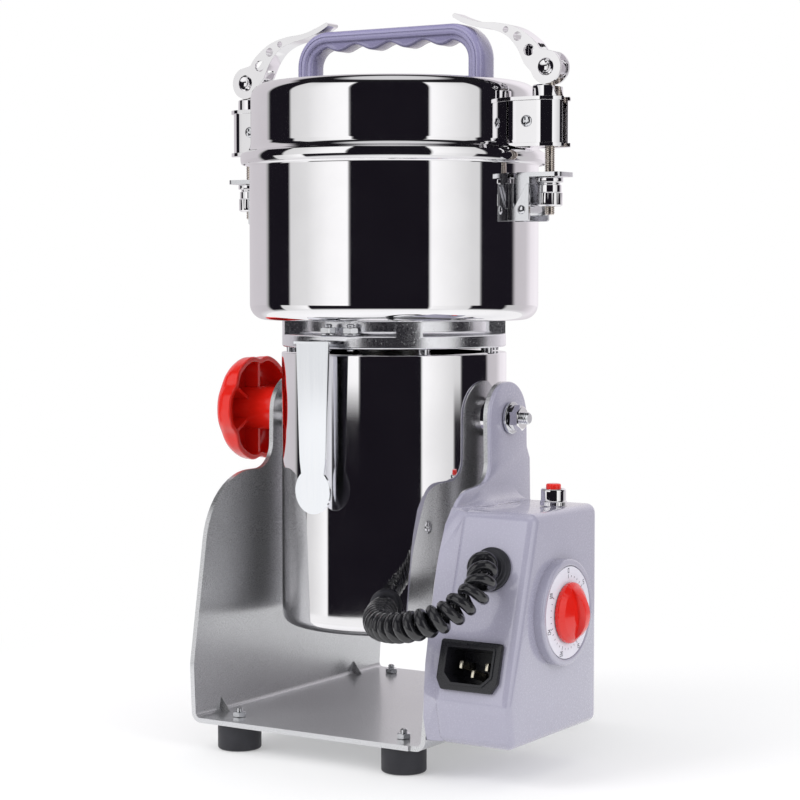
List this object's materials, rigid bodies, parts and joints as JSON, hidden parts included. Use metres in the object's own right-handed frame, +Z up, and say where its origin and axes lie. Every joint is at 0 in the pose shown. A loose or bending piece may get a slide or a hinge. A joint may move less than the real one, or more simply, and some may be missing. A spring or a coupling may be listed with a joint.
{
  "type": "hammer mill",
  "caption": "Swing-type tabletop hammer mill: a clamped-lid steel bowl with spinning blades on a motor that tilts in a U-shaped sheet frame, with a control box beside it.",
  "frame": {"origin": "on the floor, under the centre of the machine's outline without its curly cord", "axes": "+Z up, +X towards the control box, -Y towards the front, where the cord and the inlet are; X is also the tilting axis's direction"},
  "size_m": [0.2312, 0.2026, 0.369],
  "materials": {
    "polished_steel": "mirror-polished stainless steel",
    "steel": "plain machined or rolled steel",
    "cast_aluminium": "as-cast, lightly blasted",
    "hammertone": "silver hammertone paint with fine pits",
    "lavender_plastic": "semi-gloss moulded plastic",
    "red_plastic": "glossy moulded plastic",
    "black_plastic": "satin moulded plastic",
    "rubber": "satin black rubber",
    "silicone": "soft matte silicone",
    "brass": "plain",
    "white_plate": "printed plastic plate"
  },
  "bodies": {
    "frame": {"u_frame": "hammertone", "foot_front_left": "rubber", "foot_front_right": "rubber", "foot_rear_left": "rubber", "foot_rear_right": "rubber", "pivot_bolt": "steel", "pivot_washer": "steel", "pivot_nut": "polished_steel", "control_box": "lavender_plastic", "box_screw": "steel", "timer_body": "black_plastic", "dial_plate": "white_plate", "breaker_body": "polished_steel", "inlet_housing": "black_plastic", "inlet_pin_line": "brass", "inlet_pin_neutral": "brass", "inlet_pin_earth": "brass", "cord_gland": "rubber", "coiled_cord": "rubber"},
    "timer_dial": {"timer_knob": "red_plastic"},
    "reset": {"reset_button": "red_plastic"},
    "grinder": {"motor_shell": "polished_steel", "motor_grommet": "rubber", "end_bell": "cast_aluminium", "adapter_bolt_1": "steel", "adapter_bolt_2": "steel", "pull_strip": "steel", "stator": "steel", "bearing_lower": "steel", "bearing_upper": "steel", "bowl": "polished_steel", "shaft_seal": "steel", "serrated_liner": "steel", "bracket_left": "steel", "bracket_right": "steel"},
    "star": {"star_knob": "red_plastic", "star_knob_stud": "steel", "star_knob_washer": "steel"},
    "rotor": {"motor_shaft": "steel", "armature": "steel", "commutator": "brass", "blade_lower": "steel", "blade_upper": "steel", "blade_spacer": "steel", "blade_nut": "steel"},
    "lid": {"lid_shell": "polished_steel", "gasket": "silicone", "lid_handle": "lavender_plastic", "ear_left": "polished_steel", "ear_right": "polished_steel"},
    "swing_bolt_right": {"yoke_right": "steel", "rod_right": "steel"},
    "swing_bolt_left": {"yoke_left": "steel", "rod_left": "steel"},
    "thumb_nut_right": {"nut_right": "polished_steel"},
    "thumb_nut_left": {"nut_left": "polished_steel"},
    "cam_lever_right": {"lever_right": "polished_steel", "cam_pin_right": "steel"},
    "cam_lever_left": {"lever_left": "polished_steel", "cam_pin_left": "steel"}
  },
  "joints": [
    {"name": "grinder_tilt", "type": "hinge", "parent": "frame", "child": "grinder", "pos_m": [-0.01565, -0.00225, 0.1674], "axis": [1, 0, 0], "range_deg": [-45, 85], "deforming": ["coiled_cord"]},
    {"name": "star_knob_turn", "type": "hinge", "parent": "grinder", "child": "star", "pos_m": [-0.01565, -0.00225, 0.1674], "axis": [1, 0, 0], "continuous": true},
    {"name": "rotor_spin", "type": "hinge", "parent": "grinder", "child": "rotor", "pos_m": [-0.01565, -0.00225, 0.2], "axis": [0, 0, 1], "continuous": true},
    {"name": "clamp_right_swing", "type": "hinge", "parent": "grinder", "child": "swing_bolt_right", "pos_m": [0.06485, -0.00225, 0.2705], "axis": [0, 1, 0], "range_deg": [0, 105]},
    {"name": "clamp_left_swing", "type": "hinge", "parent": "grinder", "child": "swing_bolt_left", "pos_m": [-0.09615, -0.00225, 0.2705], "axis": [0, -1, 0], "range_deg": [0, 105]},
    {"name": "lid_lift", "type": "slide", "parent": "grinder", "child": "lid", "axis": [0, 0, 1], "range_m": [0, 0.03]},
    {"name": "lever_right_flip", "type": "hinge", "parent": "swing_bolt_right", "child": "cam_lever_right", "pos_m": [0.07485, -0.00225, 0.34], "axis": [0, 1, 0], "range_deg": [0, 170]},
    {"name": "lever_left_flip", "type": "hinge", "parent": "swing_bolt_left", "child": "cam_lever_left", "pos_m": [-0.10615, -0.00225, 0.34], "axis": [0, -1, 0], "range_deg": [0, 170]},
    {"name": "nut_right_turn", "type": "hinge", "parent": "swing_bolt_right", "child": "thumb_nut_right", "pos_m": [0.07485, -0.00225, 0.279], "axis": [0, 0, 1], "continuous": true},
    {"name": "nut_left_turn", "type": "hinge", "parent": "swing_bolt_left", "child": "thumb_nut_left", "pos_m": [-0.10615, -0.00225, 0.279], "axis": [0, 0, 1], "continuous": true},
    {"name": "timer_turn", "type": "hinge", "parent": "frame", "child": "timer_dial", "pos_m": [0.10535, -0.03825, 0.0785], "axis": [-1, 0, 0], "range_deg": [0, 300]},
    {"name": "reset_press", "type": "slide", "parent": "frame", "child": "reset", "axis": [0, 0, 1], "range_m": [-0.0018, 0], "stiffness_N_per_m": 600}
  ],
  "couplings": [
    {"joint": "clamp_left_swing", "follows": "clamp_right_swing", "ratio": 1},
    {"joint": "lid_lift", "follows": "clamp_right_swing", "m_per_rad": 0.01637}
  ]
}
